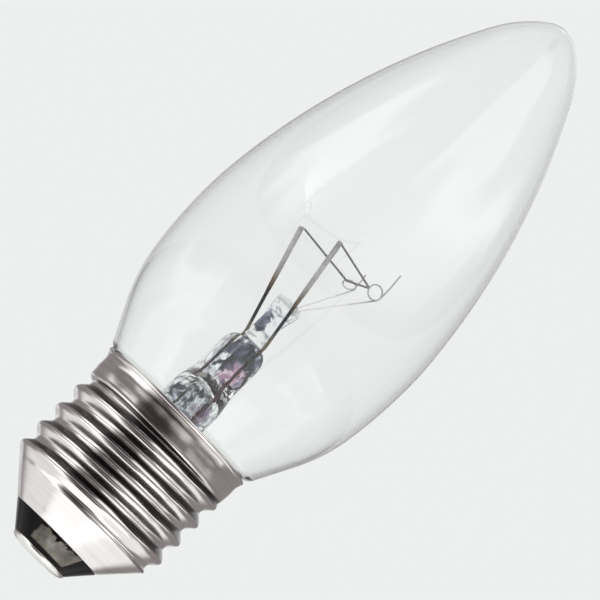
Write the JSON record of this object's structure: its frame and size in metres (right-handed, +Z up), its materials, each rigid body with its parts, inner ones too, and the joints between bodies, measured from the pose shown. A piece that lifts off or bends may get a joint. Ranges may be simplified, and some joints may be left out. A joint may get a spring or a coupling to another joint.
{
  "type": "candle bulb",
  "caption": "Clear candle-shaped filament lamp with a glass stem, hooked filament supports and a round-thread screw cap with a black insulator and centre contact.",
  "frame": {"origin": "centre of the centre contact's flat outer face", "axes": "+Z up the lamp's axis, from the contact to the tip of the glass; +X to the right and -Y towards the viewer in the picture's view with the lamp stood on its contact"},
  "size_m": [0.0404, 0.0404, 0.1065],
  "materials": {
    "bulb_glass": "clear, polished",
    "stem_glass": "clear, fire polished",
    "nickel_wire": "satin nickel",
    "copper_clad_wire": "satin copper",
    "support_wire": "satin",
    "tungsten": "dark grey, coiled",
    "nickel_plate": "polished nickel plate",
    "black_glass": "glossy black glass",
    "contact_plate": "bright tin plate",
    "solder": "bright solder",
    "cement": "matt resin cement"
  },
  "bodies": {
    "root": {"glass_envelope": "bulb_glass", "stem_flare": "stem_glass", "exhaust_tube": "stem_glass", "arbor_rod": "stem_glass", "inner_lead_front": "nickel_wire", "inner_lead_rear": "nickel_wire", "seal_wire_front": "copper_clad_wire", "seal_wire_rear": "copper_clad_wire", "fuse_link": "nickel_wire", "contact_lead": "copper_clad_wire", "shell_lead": "copper_clad_wire", "support_wire_front": "support_wire", "support_wire_rear": "support_wire", "filament": "tungsten", "screw_shell": "nickel_plate", "cap_insulator": "black_glass", "centre_contact": "contact_plate", "contact_solder": "solder", "capping_cement": "cement", "rim_solder": "solder"}
  },
  "joints": []
}
